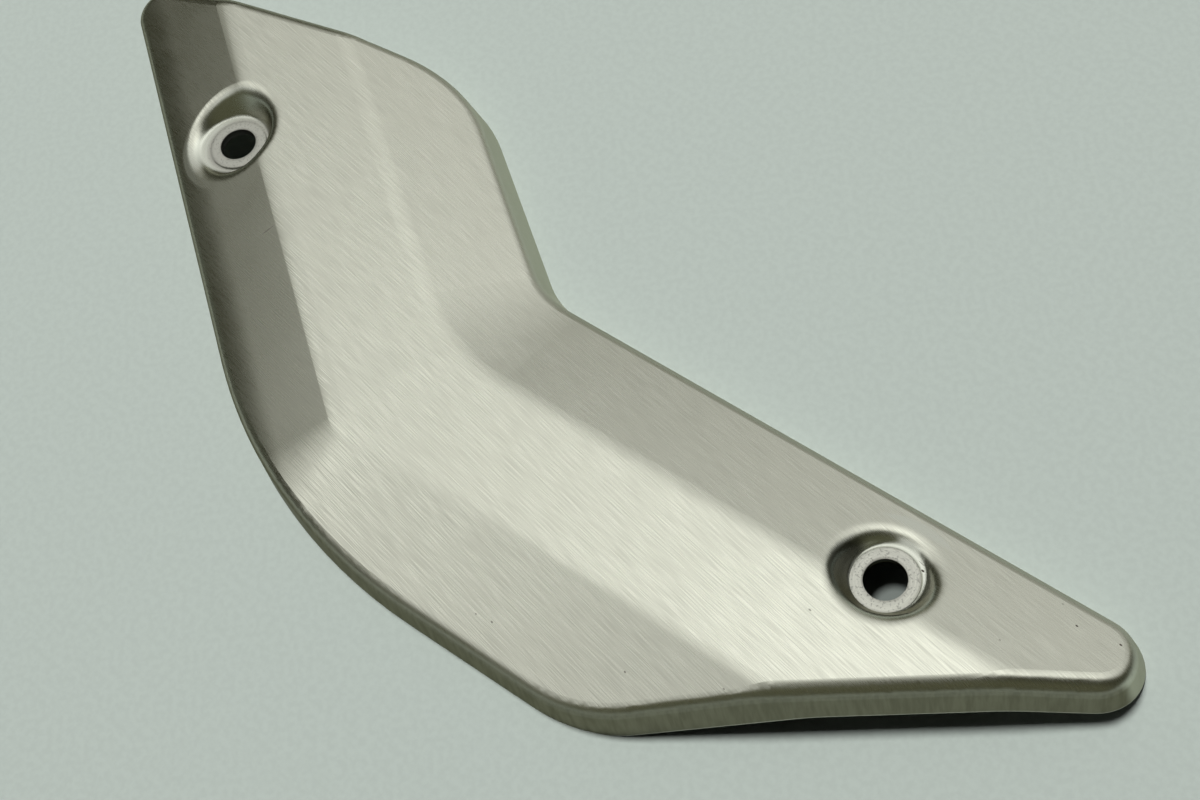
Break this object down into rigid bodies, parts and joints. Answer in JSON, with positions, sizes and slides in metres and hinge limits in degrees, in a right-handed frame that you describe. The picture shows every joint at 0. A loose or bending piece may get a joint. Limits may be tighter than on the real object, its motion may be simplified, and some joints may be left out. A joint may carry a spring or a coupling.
{
  "type": "exhaust heat shield",
  "caption": "Boomerang-shaped heat shield pressed from brushed stainless sheet, with folded facets, a turned-down rim and bolt pads set in round recesses; it covers a hot exhaust pipe.",
  "frame": {"origin": "under the middle of the bounding box, on the floor that the rim stands on", "axes": "+X along the line of the two bolt holes towards the pointed end, +Y across towards the inside of the bend, +Z out of the brushed face"},
  "size_m": [0.2228, 0.0808, 0.0125],
  "materials": {
    "sheet": "brushed"
  },
  "bodies": {
    "root": {"heat_shield": "sheet"}
  },
  "joints": []
}
